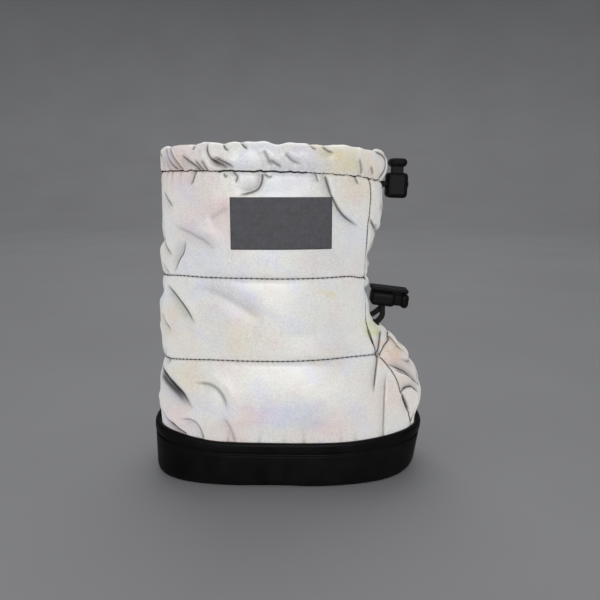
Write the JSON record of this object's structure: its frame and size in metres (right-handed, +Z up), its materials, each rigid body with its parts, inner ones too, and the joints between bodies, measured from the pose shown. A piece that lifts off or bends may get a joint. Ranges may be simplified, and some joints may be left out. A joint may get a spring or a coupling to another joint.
{
  "type": "child's puffer bootie",
  "caption": "Quilted silver fabric bootie for a small child, with a gathered drawcord collar, sliding cord locks on the front, a bare sewn patch and a black moulded cup sole.",
  "frame": {"origin": "on the floor, under the middle of the bootie's bounding box", "axes": "+Z up, +X towards the toe, -Y the side with the sewn patch"},
  "size_m": [0.1394, 0.0802, 0.1653],
  "materials": {
    "silver_fabric": "silver-coated woven shell with a fine grain",
    "black_rubber": "satin",
    "fleece": "napped",
    "grey_woven": "woven",
    "black_plastic": "satin",
    "black_elastic": "braided"
  },
  "bodies": {
    "boot": {"outsole": "black_rubber", "upper": "silver_fabric", "collar_casing": "silver_fabric", "insole": "fleece", "side_patch": "grey_woven", "collar_lock_body": "black_plastic", "collar_drawcord_near": "black_elastic", "collar_drawcord_far": "black_elastic", "ankle_lock_body": "black_plastic", "ankle_drawcord_near": "black_elastic", "ankle_drawcord_far": "black_elastic", "ankle_cord_end": "black_plastic"},
    "collar_plunger": {"collar_lock_plunger": "black_plastic"},
    "ankle_plunger": {"ankle_lock_plunger": "black_plastic"}
  },
  "joints": [
    {"name": "collar_lock_press", "type": "slide", "parent": "boot", "child": "collar_plunger", "axis": [-0.0349, 0, -0.9994], "range_m": [0, 0.0025], "stiffness_N_per_m": 600},
    {"name": "ankle_lock_press", "type": "slide", "parent": "boot", "child": "ankle_plunger", "axis": [-0.9925, 0, 0.1219], "range_m": [0, 0.0025], "stiffness_N_per_m": 600}
  ]
}
